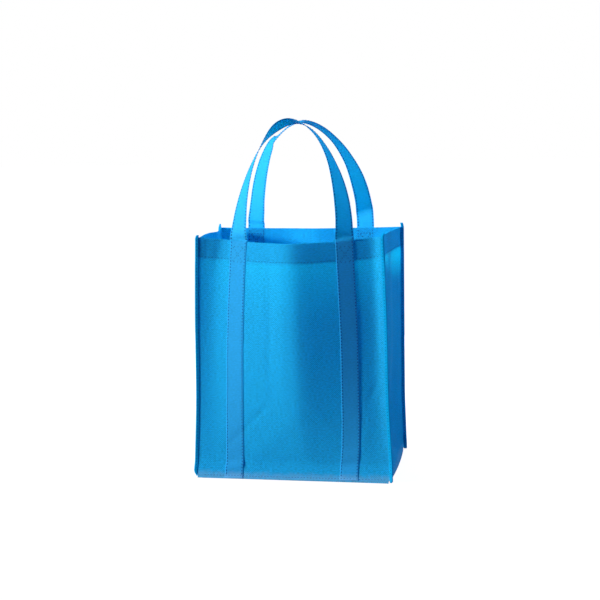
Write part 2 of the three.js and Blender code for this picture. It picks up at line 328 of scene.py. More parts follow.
class HandleLoop:
    """How a handle's loop leans, sways, turns over and bends where it leaves the rim."""

    def __init__(self, panel, lean, sway, swing, turn, overturn, twists, bends, kink):
        self.panel = panel
        self.lean = lean * MM
        self.sway = sway * MM
        self.swing = swing * MM
        self.turn = turn
        self.overturn = math.radians(overturn)
        self.twists = twists
        self.bends = bends
        self.kink = kink * MM

    def twisted(self, along):
        """Turn of the strap, 0 at the rim and 1 when it lies over, at shares of the loop's length."""
        share = 1 - np.abs(1 - 2 * along)
        rising, falling = (np.interp(share, places, turns) for places, turns in self.twists)
        turned = np.where(along < 0.5, rising, falling)
        window = np.hanning(TWIST_WINDOW)
        padded = np.pad(turned, TWIST_WINDOW // 2, mode="edge")
        return np.convolve(padded, window / window.sum(), "valid")


class RimBend:
    """A bend of a strap above the rim: its height, how sharp and how far it comes out."""

    def __init__(self, height, sharp, out):
        self.height = height * MM
        self.sharp = sharp * MM
        self.out = out * MM

    def at(self, above):
        """How far the strap comes out at a distance above the rim."""
        rising = smoothstep(above, self.height - self.sharp, self.height)
        return self.out * rising * (1 - smoothstep(above, self.height, self.height + BEND_FADE))


FRONT_FOLDS = (
    SoftFold(foot=-137, rim=-119, width=8, turn=0.52, drift=6),
    SoftFold(foot=20, rim=7, width=7.5, turn=-0.24),
    SoftFold(foot=20, rim=7, width=7.5, turn=-0.29, full=0.6),
    SoftFold(foot=150, rim=149, width=4.5, turn=0.8, full=0.9),
    SoftFold(foot=158, rim=158, width=2, turn=-0.2, full=0.9),
)
BACK_FOLDS = (
    SoftFold(foot=-140, rim=-140, width=8, turn=0.08),
    SoftFold(foot=-70, rim=-70, width=14, turn=-0.16),
    SoftFold(foot=-10, rim=-14, width=7, turn=0.26),
    SoftFold(foot=40, rim=40, width=7, turn=-0.22),
    SoftFold(foot=100, rim=100, width=14, turn=0.1),
)
FRONT_WRINKLES = (
    Wrinkle(start=(-125, 32), end=(-10, 148), width=5, height=-0.55),
    Wrinkle(start=(-95, 0), end=(24, 120), width=16, height=0.6),
    Wrinkle(start=(20, 140), end=(92, 52), width=6, height=0.35),
    Wrinkle(start=(-34, 100), end=(-29, 430), width=6, height=-0.5),
    Wrinkle(start=(-10, 100), end=(-8, 390), width=8, height=0.4),
    Wrinkle(start=(-30, 20), end=(30, 34), width=8, height=-0.4),
    Wrinkle(start=(-143, 325), end=(-123, 445), width=7, height=0.6),
    Wrinkle(start=(112, 40), end=(140, 110), width=9, height=0.3),
    Wrinkle(start=(128, 120), end=(150, 165), width=6, height=-0.5),
)
BACK_WRINKLES = (
    Wrinkle(start=(-60, 70), end=(10, 160), width=9, height=-0.5),
    Wrinkle(start=(20, 180), end=(75, 90), width=9, height=0.4),
    Wrinkle(start=(-30, 24), end=(50, 40), width=8, height=-0.4),
    Wrinkle(start=(-5, 220), end=(12, 340), width=6, height=0.3),
)
FRONT = UprightPanel(
    -1, FRONT_FOLDS, FRONT_WRINKLES, sag=8.3, rim_inset=12.5, bow=2.4, rim_spacing=185.7, strap_shift=5.5,
    strap_feet=((1.0, 9, 4), (0.3, 30, 6)), strap_bow=(1.5, 3), set_right=-1.4, foot_kick=(0, -3.2),
    foot_spread=0)
BACK = UprightPanel(
    1, BACK_FOLDS, BACK_WRINKLES, sag=2, rim_inset=0.3, bow=0, rim_spacing=194, strap_shift=-1.1,
    strap_feet=((1.0, 12, -3), (1.6, 10, 3)), strap_bow=(0, 0), set_right=0, foot_kick=(0, 1.5),
    foot_spread=2.4)
FRONT_LOOP = HandleLoop(
    FRONT, lean=28, sway=0, swing=1.7, turn=1, overturn=23, kink=0,
    twists=(
        ((0, 0.08, 0.28, 0.43, 0.58, 0.7, 0.85, 1), (0, 0.3, 0.53, 0.68, 0.81, 0.9, 0.98, 1)),
        ((0, 0.07, 0.27, 0.42, 0.57, 0.73, 0.8, 1), (0, 0.34, 0.49, 0.65, 0.84, 0.97, 1, 1)),
    ),
    bends=(RimBend(14, 13, 2.2), RimBend(13, 12, 1.8)))
BACK_LOOP = HandleLoop(
    BACK, lean=45, sway=7, swing=1.5, turn=-1, overturn=0, kink=5,
    twists=(
        ((0, 0.1, 0.17, 0.36, 0.53, 0.73, 1), (0, -0.05, 0.29, 0.45, 0.68, 0.84, 0.9)),
        ((0, 0.06, 0.2, 0.36, 0.52, 0.68, 0.74, 1), (0, 0.08, 0.26, 0.34, 0.46, 0.63, 0.88, 0.9)),
    ),
    bends=(RimBend(12, 9, -1.2), RimBend(13, 2.6, -3.8)))


def length_value(name, description, millimetres):
    """A length that a user may change."""
    return FloatProperty(name=name, description=description, default=millimetres * MM, unit="LENGTH")


def colour_value(name, description, value):
    """A colour that a user may change."""
    return FloatVectorProperty(
        name=name, description=description, default=value, subtype="COLOR", size=3, min=0, max=1)


def angle_value(name, description, degrees):
    """An angle that a user may change."""
    return FloatProperty(name=name, description=description, default=math.radians(degrees), subtype="ANGLE")


def power_value(name, description, watts):
    """A lamp's power that a user may change."""
    return FloatProperty(name=name, description=description, default=watts, unit="POWER")


class BagSizes(bpy.types.PropertyGroup):
    """Cut sizes of the bag, close to those of the solids."""

    panel_width: length_value("Panel width", "Front and back panels, between their corner seams", 318)
    panel_height: length_value("Panel height", "From the bottom seam up to the folded rim", 390)
    bag_depth: length_value("Bag depth", "Between the front and back corner seams", 203)
    side_seam: length_value("Side seam", "Cloth outside the stitching of a corner seam", 5.2)
    bottom_seam: length_value("Bottom seam", "Cloth outside the stitching of the bottom seams", 6)
    left_corner: length_value("Left corner radius", "Lower left corners of the panels", 14.5)
    right_corner: length_value("Right corner radius", "Lower right corners of the panels", 5)
    lap_height: length_value("Bottom lap", "Side edges of the bottom panel, turned up inside the gussets", 8)
    hem_height: length_value("Hem", "Rim folded to the inside", 33)
    cloth_thickness: length_value("Cloth thickness", "One layer of cloth", 0.5)
    layer_gap: length_value("Layer gap", "Air between two layers that lie on each other", 0.3)
    strap_width: length_value("Strap width", "Folded handle strap", 30)
    strap_thickness: length_value("Strap thickness", "All layers of the folded strap", 0.75)
    foot_spacing: length_value("Strap spacing", "Between the middles of a strap's legs at the foot", 194)
    handle_rise: length_value("Handle rise", "Top of a loop above the rim, along its lean", 190.5)
    tape_proud: length_value("Tape end", "Raw tape end above the rim", 7)
    # the thread is drawn wider than real thread, so that its dark colour also covers the painted shade of the
    # needle holes
    thread_width: length_value("Thread", "Thickness of the sewing thread", 1.5)
    stitch_pitch: length_value("Stitch pitch", "From one stitch to the next", 5)


class BagColours(bpy.types.PropertyGroup):
    """Colours of the cloth, the tape, the thread and the floor."""

    body: colour_value("Body cloth", "Colour of the panels", (0.026, 0.55, 0.92))
    strap: colour_value("Strap cloth", "Colour of the handle straps", (0.038, 0.49, 0.94))
    tape: colour_value("Binding tape", "Colour of the tape round the corner seams", (0.006, 0.55, 0.97))
    passed: colour_value(
        "Passed light", "Colour of light that has passed a face of the cloth", (0.012, 0.82, 0.94))
    # partly painted shade: the thread is dark blue, and darker still to stand in for the shade in the needle
    # holes round each stitch
    thread: colour_value("Thread", "Colour of the sewing thread", (0.002, 0.085, 0.36))
    floor: colour_value("Floor", "Colour of the floor", (0.07, 0.07, 0.07))


class BagStage(bpy.types.PropertyGroup):
    """Light and camera."""

    key_strength: FloatProperty(
        name="Key light", description="Strength of the light from the left", default=5.4)
    fill_strength: FloatProperty(
        name="Fill light", description="Strength of the light from all round", default=0.3)
    back_power: power_value("Back light", "Power of the soft light behind the bag", 40)
    side_power: power_value("Side light", "Power of the weak light high on the bag's right", 6)
    key_azimuth: angle_value("Key side", "How far left of the front the key light stands", 68)
    key_elevation: angle_value("Key height", "Key light above the horizon", 11.5)
    camera_azimuth: angle_value("Camera side", "How far right of the front the camera stands", 9.97)
    camera_elevation: angle_value("Camera height", "Camera above the horizon", 7.95)
    camera_roll: angle_value("Camera roll", "Turn of the camera about its axis", -1.02)
    camera_distance: length_value("Camera distance", "From the camera to the bag's middle", 2020)
    lens: FloatProperty(name="Lens", description="Focal length in millimetres", default=71.94)


class BagShape:
    """Where the bag's cloth lies. Heights start at the bottom seam, and arrays give many spots at once."""

    def __init__(self, sizes):
        self.sizes = sizes
        self.half_width = sizes.panel_width / 2
        self.height = sizes.panel_height
        self.pitch = sizes.cloth_thickness + sizes.layer_gap
        self.hem_line = sizes.panel_height - sizes.hem_height
        self.seam_drop = sizes.bottom_seam * math.sin(BOTTOM_SLOPE)
        self.seam_height = self.seam_drop + (self.pitch + sizes.cloth_thickness / 2) * math.cos(BOTTOM_SLOPE)
        self.strap_lift = sizes.cloth_thickness / 2 + STRAP_GAP + sizes.strap_thickness / 2

    def seam_depth(self, up):
        """Distance of a panel from the bag's middle plane, at its corner seams."""
        return self.sizes.bag_depth / 2 + BOTTOM_FLARE * (1 - smoothstep(up, 0, FLARE_HEIGHT))

    def corner_x(self, panel, up):
        """Distance of a panel's corner seam from the bag's centre line."""
        level = np.maximum(0, up) / self.height
        spread = panel.foot_spread * (1 - smoothstep(up, 0, SPREAD_HEIGHT))
        bowed = panel.bow * bump_at(level, BOW_LEVEL, BOW_SPAN)
        return self.half_width + spread - panel.rim_inset * level - bowed

    def corner_radius(self, side):
        """Radius of the lower panel corners on the bag's left (-1) or right (1)."""
        return np.where(np.asarray(side) < 0, self.sizes.left_corner, self.sizes.right_corner)

    def panel_reach(self, side, up):
        """Half the width of a panel with its seam edge, rounded off at the lower corner."""
        radius = self.corner_radius(side)
        below = np.maximum(0, radius - self.sizes.bottom_seam - up)
        rounded = np.sqrt(np.maximum(0, radius**2 - below**2))
        return self.half_width + self.sizes.side_seam - radius + rounded

    def leg_centre(self, panel, leg, up):
        """Middle of a strap's left (-1) or right (1) leg on the flat panel, seen from outside."""
        level = np.maximum(0, up) / self.height
        spacing = mix(self.sizes.foot_spacing, panel.rim_spacing, level**RIM_PULL)
        which = (leg + 1) // 2
        kick = panel.foot_kick[which] * MM * (1 - smoothstep(up, 0, KICK_HEIGHT))
        bowed = smoothstep(level, *LEG_BOW_STARTS) * (1 - smoothstep(level, *LEG_BOW_ENDS))
        bow = panel.strap_bow[which] * MM * bowed
        return leg * (spacing / 2 + bow) + panel.strap_shift * level + kick

    def floor_lift(self, depth):
        """Height of the bottom panel at a distance from the bag's middle plane."""
        seam = self.seam_height - self.pitch * math.cos(BOTTOM_SLOPE)
        end = self.seam_depth(0)
        return mix(self.sizes.cloth_thickness / 2, seam, smoothstep(np.abs(depth), end - FOOT_RAMP, end))

    def seam_layers(self, up):
        """Gap between a panel and the gusset edge sewn behind it."""
        return self.pitch * (1 + HEM_LAYERS * smoothstep(up, self.hem_line - HEM_BLEND, self.hem_line))

    def folded(self, panel, across, level):
        """How far a panel's folds bring it out at a level, nothing at its corner seams."""
        def height(spot):
            return sum(fold.height(spot, level) for fold in panel.folds)
        half = self.half_width
        inside = np.clip(across, -half, half)
        left, right = height(0 * inside - half), height(0 * inside + half)
        return height(inside) - mix(left, right, (inside + half) / (2 * half))

    def panel_point(self, panel, across, up):
        """Spots on a panel; across runs to the right as seen from outside the bag."""
        share = np.minimum(1, np.abs(across) / (self.half_width - STIFF_EDGE))
        level = np.maximum(0, up) / self.height
        crown = 1 - share**2
        swell = self.folded(panel, across, level)
        edge = np.maximum(0, np.abs(across) - self.half_width)
        aside = across / self.half_width
        below = np.maximum(0, -up) * np.where(aside > 0, 1 - FOOT_TRIM * aside, 1 - FOOT_DROP * aside)
        inner = np.minimum(1, np.abs(across) / self.half_width) * self.corner_x(panel, up)
        swell = swell + sum(wrinkle.at(across, up) for wrinkle in panel.wrinkles)
        x = np.sign(across) * (inner + edge)
        y = self.seam_depth(up) + swell + below * math.cos(BOTTOM_SLOPE) + fin_lean(edge)
        z = self.seam_height + np.maximum(0, up) - panel.sag * level**2 * crown
        z = z - below * math.sin(BOTTOM_SLOPE)
        return np.stack([panel.set_right - panel.side * x, panel.side * y, z], axis=-1)

    def panel_face(self, panel, across, up):
        """Spots on a panel and the way its outer face looks there."""
        spot = self.panel_point(panel, across, up)
        right = self.panel_point(panel, across + SMALL_STEP, up)
        right = right - self.panel_point(panel, across - SMALL_STEP, up)
        rise = spot - self.panel_point(panel, across, up - SMALL_STEP)
        return spot, unit(np.cross(right, rise))

    def leg_face(self, panel, leg, offset, up):
        """Spots on the middle of a strap's leg, offset from its middle line, and the way it looks there."""
        spot, normal = self.panel_face(panel, self.leg_centre(panel, leg, up) - leg * offset, up)
        bulge, line, slant = panel.strap_feet[(leg + 1) // 2]
        half = self.sizes.strap_width / 2
        fold = (line - slant * leg * offset / half) * MM
        risen = smoothstep(up, fold - FOOT_RISE, fold + FOOT_RISE)
        lift = risen * (1 - smoothstep(up, fold + FOOT_TOP, fold + FOOT_END))
        pressed = EDGE_PRESS * smoothstep(np.abs(offset), half - EDGE_ROLL, half)
        lift = bulge * MM * lift + self.strap_lift - pressed
        return spot + normal * lift[..., None], normal

    def gusset_face(self, side, share, up):
        """Spots on a gusset's wall and the way its outer face looks there."""
        spot = self.gusset_point(side, share, 0, up)
        ahead = self.gusset_point(side, share - SMALL_SHARE, 0, up)
        along = self.gusset_point(side, share + SMALL_SHARE, 0, up) - ahead
        rise = spot - self.gusset_point(side, share, 0, up - SMALL_STEP)
        return spot, side * unit(np.cross(along, rise))

    def buckles(self, share, up):
        """Soft upright buckles of a gusset under its hem."""
        below = (self.hem_line - up) / MM
        out = 0
        for middle, width, height, top in GUSSET_BUCKLES:
            grown = smoothstep(below, top, top + BUCKLE_GROWTH)
            out = out + height * MM * bump_at(share, middle, width) * grown
        return out * smoothstep(up, 0, FOLD_HEIGHT)

    def pleat(self, side, share, up):
        """How far a gusset is drawn in, 1 at its crease; the left crease tips back at the rim."""
        even = 1 - np.sqrt(share**2 + CREASE_ROUND**2)
        if side > 0:
            return even
        steep = smoothstep(share, LEFT_CREASE - CREASE_SPAN, LEFT_CREASE)
        tipped = np.minimum(steep, (1 - share) / (1 - LEFT_CREASE))
        return mix(even, tipped, smoothstep(up, TIP_LEVEL * self.height, self.height))

    def gusset_point(self, side, share, edge, up):
        """Spots on a gusset; share runs from -1 at the front seam to 1 at the back seam."""
        y = share * (self.seam_depth(up) - self.seam_layers(up))
        seam = mix(self.corner_x(FRONT, up), self.corner_x(BACK, up), (share + 1) / 2)
        across = self.pleat(side, share, up)
        along = np.maximum(0, up - self.sizes.lap_height) / FOLD_HEIGHT
        fold = np.maximum(0, (across + along - np.sqrt((across - along) ** 2 + CREASE_ROUND**2)) / 2)
        belly = GUSSET_BELLY * (1 - share**2) * (1 - smoothstep(up, 0, FOLD_HEIGHT))
        line = np.maximum(DIP_LOW, DIP_HEIGHT * (1 - share) / 2)
        low, high = (level * self.height for level in DIP_LEVELS)
        risen = np.minimum(1, np.maximum(0, up) / line) * (1 - smoothstep(up, low, high))
        belly = belly - FOOT_DIP * (1 - share**2) * risen
        reach = edge * (self.panel_reach(side, up) - self.half_width)
        pinch = LEFT_PINCH if side < 0 else RIGHT_PINCH
        x = seam + belly - pinch * fold + reach + self.buckles(share, up)
        z = up + mix(self.floor_lift(y), self.seam_height, smoothstep(up, 0, FOLD_HEIGHT))
        if side < 0:
            tipped = smoothstep(up, TIP_LEVEL * self.height, self.height)
            swollen = bump_at(share, BULGE_AT, BULGE_SPAN) * tipped
            x = x + LEFT_BULGE * swollen
        set_right = mix(FRONT.set_right, BACK.set_right, (share + 1) / 2)
        return np.stack([set_right + side * x, y + np.sign(share) * fin_lean(reach), z], axis=-1)

    def hem_rows(self, low, step):
        """Heights and fold angles of the rows from a lower edge up, over the rim and down inside the hem."""
        wall = np.linspace(low, self.height, round((self.height - low) / step) + 1)
        fold = np.linspace(0, math.pi, FOLD_ROWS)[1:-1]
        hem = np.linspace(self.height, self.hem_line, round(self.sizes.hem_height / step) + 1)
        ups = np.concatenate([wall, np.full(len(fold), self.height), hem])
        turns = np.concatenate([np.zeros(len(wall)), fold, np.full(len(hem), math.pi)])
        lengths = np.concatenate([
            wall,
            self.height + fold * self.pitch / 2,
            2 * self.height - hem + math.pi * self.pitch / 2,
        ])
        return ups, turns, lengths

    def hemmed(self, outer, normal, turns):
        """Spots of a wall whose upper rows turn over the rim and hang inside as its hem."""
        turn = turns[:, None, None]
        points = outer - normal * self.pitch / 2 * (1 - np.cos(turn))
        return points + np.array([0, 0, self.pitch / 2]) * np.sin(turn)


def grid_normals(points):
    """Normals of a grid of spots, rows first."""
    along_row = np.gradient(points, axis=1)
    along_column = np.gradient(points, axis=0)
    return unit(np.cross(along_row, along_column))


def lay_sheet(name, points, flat):
    """A grid primitive laid over rows of spots; its UV map holds the flat cut in metres."""
    rows, columns = points.shape[:2]
    bpy.ops.object.select_all(action="DESELECT")
    bpy.ops.mesh.primitive_grid_add(x_subdivisions=columns - 1, y_subdivisions=rows - 1, size=1)
    piece = bpy.context.object
    piece.name = name
    piece.data.name = name
    mesh = piece.data
    places = np.empty(len(mesh.vertices) * 3)
    mesh.vertices.foreach_get("co", places)
    places = places.reshape(-1, 3)
    column = np.rint((places[:, 0] + 0.5) * (columns - 1)).astype(int)
    row = np.rint((places[:, 1] + 0.5) * (rows - 1)).astype(int)
    mesh.vertices.foreach_set("co", points[row, column].ravel())
    corners = np.empty(len(mesh.loops), dtype=int)
    mesh.loops.foreach_get("vertex_index", corners)
    mesh.uv_layers[0].data.foreach_set("uv", flat[row, column][corners].ravel())
    mesh.update()
    return piece


def thicken(piece, thickness, weights=None):
    """Gives a sheet its thickness, even or weighted by vertex, and smooth shading."""
    bpy.context.view_layer.objects.active = piece
    solid = piece.modifiers.new("Thickness", "SOLIDIFY")
    solid.thickness = thickness
    solid.offset = 0
    solid.use_even_offset = True
    if weights is not None:
        group = piece.vertex_groups.new(name="thickness")
        for index, weight in enumerate(weights):
            group.add([index], float(weight), "REPLACE")
        solid.vertex_group = group.name
    bpy.ops.object.modifier_apply(modifier=solid.name)
    piece.vertex_groups.clear()
    bpy.ops.object.shade_smooth_by_angle(angle=SMOOTH_ANGLE)


class Shade:
    """A value in a material's nodes. Sums and products of it add Math nodes."""

    def __init__(self, finish, socket):
        self.finish = finish
        self.socket = socket

    def math(self, operation, *values):
        """A Math node on these values."""
        inputs = dict(enumerate(values))
        return self.finish.add("ShaderNodeMath", {"operation": operation}, inputs)

    def __add__(self, other):
        return self.math("ADD", self, other)

    def __sub__(self, other):
        return self.math("SUBTRACT", self, other)

    def __rsub__(self, other):
        return self.math("SUBTRACT", other, self)

    def __mul__(self, other):
        return self.math("MULTIPLY", self, other)

    __radd__ = __add__
    __rmul__ = __mul__


class Finish:
    """One material and its nodes."""

    def __init__(self, name, material=None):
        self.material = material or bpy.data.materials.new(name)
        self.material.use_nodes = True
        self.nodes = self.material.node_tree.nodes
        self.links = self.material.node_tree.links
        self.nodes.clear()

    def add(self, kind, settings=None, inputs=None, output=0):
        """A node of a kind, with its settings first and then the values or links of its sockets."""
        node = self.nodes.new(kind)
        for setting, value in (settings or {}).items():
            setattr(node, setting, value)
        for key, value in (inputs or {}).items():
            socket = node.inputs[key]
            if isinstance(value, Shade):
                self.links.new(value.socket, socket)
            else:
                socket.default_value = value
        return Shade(self, node.outputs[output]) if node.outputs else node

    def shown_rays(self):
        """1 for rays that show the background: from the camera, mirrored, or through clear matter."""
        path = self.add("ShaderNodeLightPath").socket.node.outputs
        seen, mirrored, passed, spread = (
            Shade(self, path[name])
            for name in ("Is Camera Ray", "Is Glossy Ray", "Is Transmission Ray", "Is Diffuse Ray"))
        return seen + mirrored + passed * (1 - spread)


def tinted(finish, colour, amount):
    """A colour made lighter or darker by an amount round 1."""
    return finish.add(
        "ShaderNodeVectorMath", {"operation": "SCALE"}, {0: tuple(colour), "Scale": amount})


def cloth_finish(name, colour, passed, through, dot_pitch, emboss, grain, relief, rubbed=0):
    """Spunbonded cloth: embossed dots, cloudy fibres, a matt face, and some light passing through.

    Light is painted on the foot: the cloth is painted paler up to the height given, where the foot turns up
    to the lamps."""
    finish = Finish(name)
    flat = finish.add("ShaderNodeUVMap")
    spot = finish.add("ShaderNodeSeparateXYZ", None, {0: flat})
    across = Shade(finish, spot.socket.node.outputs["X"])
    along = Shade(finish, spot.socket.node.outputs["Y"])
    turns = 2 * math.pi / dot_pitch
    right, up = (turned.math("COSINE", turned) for turned in (across * turns, along * turns))
    dots = right * up
    drawn = finish.add("ShaderNodeVectorMath", {"operation": "MULTIPLY"}, {0: flat, 1: FIBRE_DRAW})
    fibres = finish.add("ShaderNodeTexNoise", None, {"Vector": drawn, "Scale": 1.0, "Detail": 2.0})
    clouds = finish.add("ShaderNodeTexNoise", None, {"Vector": flat, "Scale": CLOUD_SCALE, "Detail": 2.0})
    tone = 1 + emboss * dots + grain * (fibres - 0.5) + CLOUD_TONE * (clouds - 0.5)
    base = tinted(finish, colour, tone)
    # painted light: a pale band at the foot, where the cloth turns up to the lamps
    if rubbed:
        place = finish.add("ShaderNodeTexCoord", None, None, "Object")
        lifted = finish.add("ShaderNodeSeparateXYZ", None, {0: place})
        height = Shade(finish, lifted.socket.node.outputs["Z"])
        painted_light_share = finish.add("ShaderNodeMapRange", {"interpolation_type": "SMOOTHSTEP"}, {
            "Value": height + PAINTED_LIGHT_RAGGED * (clouds - 0.5), "From Min": rubbed,
            "From Max": PAINTED_LIGHT_FULL * rubbed, "To Min": 0.0, "To Max": PAINTED_LIGHT_SHARE})
        base = finish.add("ShaderNodeMix", {"data_type": "RGBA"}, {
            "Factor": painted_light_share, 6: base, 7: PAINTED_LIGHT_COLOUR}, 2)
    raised = DOT_RELIEF * dots + FIBRE_RELIEF * fibres
    bump = finish.add("ShaderNodeBump", None, {
        "Strength": relief, "Distance": RELIEF_DEPTH, "Height": raised})
    face = finish.add("ShaderNodeBsdfPrincipled", None, {
        "Base Color": base, "Roughness": CLOTH_ROUGHNESS + ROUGHNESS_SPREAD * (fibres - 0.5), "Normal": bump,
        "Specular IOR Level": CLOTH_SHINE,
    })
    glow = finish.add("ShaderNodeBsdfTranslucent", None, {"Color": (*passed, 1)})
    both = finish.add("ShaderNodeMixShader", None, {0: through, 1: face, 2: glow})
    finish.add("ShaderNodeOutputMaterial", None, {"Surface": both})
    return finish.material


def thread_finish(colour):
    """Twisted sewing thread, dark blue and darkened further as painted shade of the needle holes round each
    stitch.
    """
    finish = Finish("sewing_thread")
    place = finish.add("ShaderNodeTexCoord", None, None, "Object")
    strands = finish.add("ShaderNodeTexNoise", None, {"Vector": place, "Scale": STRAND_SCALE, "Detail": 1.0})
    dark, added = THREAD_TONE
    face = finish.add("ShaderNodeBsdfPrincipled", None, {
        "Base Color": tinted(finish, colour, dark + added * strands), "Roughness": THREAD_ROUGHNESS,
        "Specular IOR Level": THREAD_SHINE,
    })
    finish.add("ShaderNodeOutputMaterial", None, {"Surface": face})
    return finish.material


def dress(piece, node, material):
    """Puts a finished piece in the place of a solid."""
    piece.data.materials.clear()
    piece.data.materials.append(material)
    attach(piece, BODY)
    if node:
        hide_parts(node)


def shared_cloth(name, colour, passed, **finish):
    """A cloth by its name, made the first time it is asked for."""
    return bpy.data.materials.get(name) or cloth_finish(name, colour, passed, **finish)


def body_cloth(context):
    """Cloth of the panels, gussets and bottom."""
    colours = context.scene.bag_colours
    # the pale band at the foot is painted light
    return shared_cloth(
        "body_cloth_blue", colours.body, colours.passed, through=0.5, dot_pitch=3.3 * MM, emboss=0.38,
        grain=1.7, relief=0.26, rubbed=PAINTED_LIGHT_HEIGHT)


def strap_cloth(context):
    """Cloth of the handle straps."""
    colours = context.scene.bag_colours
    # the pale band at the foot is painted light
    return shared_cloth(
        "strap_cloth_blue", colours.strap, colours.passed, through=0.35, dot_pitch=2.4 * MM, emboss=0.06,
        grain=0.7, relief=0.02, rubbed=PAINTED_LIGHT_HEIGHT)


def tape_cloth(context):
    """Cloth of the binding tape."""
    colours = context.scene.bag_colours
    return shared_cloth(
        "tape_cloth_blue", colours.tape, colours.passed, through=0.42, dot_pitch=2.4 * MM, emboss=0.1,
        grain=0.8, relief=0.2)


class BAG_OT_panels(bpy.types.Operator):
    """Front and back panels, with hems folded inside and their seam edges"""

    bl_idname = "bag.panels"
    bl_label = "Front and back panels"

    def execute(self, context):
        shape = BagShape(context.scene.bag_sizes)
        sizes = shape.sizes
        full = shape.half_width + sizes.side_seam
        trim_from = shape.half_width - TRIM_WIDTH
        for name, panel in (("front_panel", FRONT), ("back_panel", BACK)):
            ups, turns, lengths = shape.hem_rows(-sizes.bottom_seam, ROW_STEP)
            columns = np.linspace(-full, full, PANEL_COLUMNS)
            up = ups[:, None] + 0 * columns
            leg = np.sign(columns)
            reach = shape.panel_reach(-panel.side * leg, up)
            beyond = np.maximum(0, np.abs(columns) - trim_from)
            trimmed = beyond * (reach - trim_from) / (full - trim_from)
            across = leg * (np.minimum(np.abs(columns), trim_from) + trimmed)
            outer, normal = shape.panel_face(panel, across, up)
            points = shape.hemmed(outer, normal, turns)
            flat = np.stack([across, lengths[:, None] + 0 * across], axis=-1)
            piece = lay_sheet(name + "_cloth", points, flat)
            thicken(piece, sizes.cloth_thickness)
            dress(piece, name, body_cloth(context))
        return {"FINISHED"}


class BAG_OT_gussets(bpy.types.Operator):
    """Left and right gussets, creased down the middle and hemmed"""

    bl_idname = "bag.gussets"
    bl_label = "Gussets"

    def execute(self, context):
        shape = BagShape(context.scene.bag_sizes)
        sizes = shape.sizes
        edge_steps = np.linspace(1, 0, EDGE_COLUMNS + 1)[:-1]
        wall = np.linspace(-1, 1, GUSSET_COLUMNS)
        seam = np.ones(EDGE_COLUMNS)
        shares = np.concatenate([-seam, wall, seam])
        edges = np.concatenate([edge_steps, 0 * wall, edge_steps[::-1]])
        for name, side in (("left_gusset", -1), ("right_gusset", 1)):
            ups, turns, lengths = shape.hem_rows(0, ROW_STEP)
            order = slice(None, None, side)
            share = shares[order][None, :] + 0 * ups[:, None]
            edge = edges[order][None, :] + 0 * ups[:, None]
            up = ups[:, None] + 0 * share
            outer = shape.gusset_point(side, share, edge, up)
            lowered = shape.gusset_point(side, share, edge, up - SMALL_STEP)
            rise = outer - lowered
            along = np.gradient(outer, axis=1)
            normal = unit(np.cross(along, rise))
            points = shape.hemmed(outer, normal, turns)
            width = lengths_along(outer[len(ups) // 2])
            flat = np.stack([width[None, :] + 0 * up, lengths[:, None] + 0 * up], axis=-1)
            piece = lay_sheet(name + "_cloth", points, flat)
            thicken(piece, sizes.cloth_thickness)
            dress(piece, name, body_cloth(context))
        return {"FINISHED"}


class BAG_OT_bottom(bpy.types.Operator):
    """Bottom panel, flat on the floor, lifted to its front and back seams and lapped up at the sides"""

    bl_idname = "bag.bottom"
    bl_label = "Bottom panel"

    def execute(self, context):
        shape = BagShape(context.scene.bag_sizes)
        sizes = shape.sizes
        reach = shape.seam_depth(0) - shape.pitch * math.sin(BOTTOM_SLOPE)
        tip = reach + sizes.bottom_seam * math.cos(BOTTOM_SLOPE)
        flat_reach = reach - FOOT_RAMP
        inner = np.linspace(-reach, reach, BOTTOM_ROWS)
        depths = np.concatenate([[-tip], inner, [tip]])[::-1]
        columns = np.linspace(-1, 1, BOTTOM_COLUMNS)
        rows = []
        for depth in depths:
            drop = max(0, abs(depth) - reach) / (tip - reach) * shape.seam_drop
            lap = sizes.lap_height * (1 - smoothstep(abs(depth), flat_reach, reach))
            share = min(1, abs(depth) / shape.seam_depth(0)) * np.sign(depth)
            set_right = mix(FRONT.set_right, BACK.set_right, (share + 1) / 2)
            wall = shape.gusset_point(1, np.array(share), np.array(0.0), np.array([0.0, lap]))[:, 0]
            beside = wall - shape.pitch - set_right
            seam_edge = shape.corner_x(FRONT if depth < 0 else BACK, 0) - shape.pitch
            near_seam = smoothstep(abs(depth), flat_reach, reach)
            foot = mix(beside[0], seam_edge, near_seam)
            top = mix(beside[1], seam_edge, near_seam)
            z = shape.floor_lift(min(abs(depth), reach)) - drop
            x = columns * foot + set_right
            row = np.stack([x, np.full(len(x), depth), np.full(len(x), z)], axis=-1)
            left = np.array([[set_right - top, depth, z + lap]])
            right = np.array([[set_right + top, depth, z + lap]])
            rows.append(np.concatenate([left, row, right]))
        points = np.array(rows)
        flat = points[:, :, :2].copy()
        flat[:, 0, 0] -= sizes.lap_height
        flat[:, -1, 0] += sizes.lap_height
        piece = lay_sheet("bottom_panel_cloth", points, flat)
        thicken(piece, sizes.cloth_thickness)
        dress(piece, "bottom_panel", body_cloth(context))
        2 * (reach + sizes.bottom_seam)
        return {"FINISHED"}


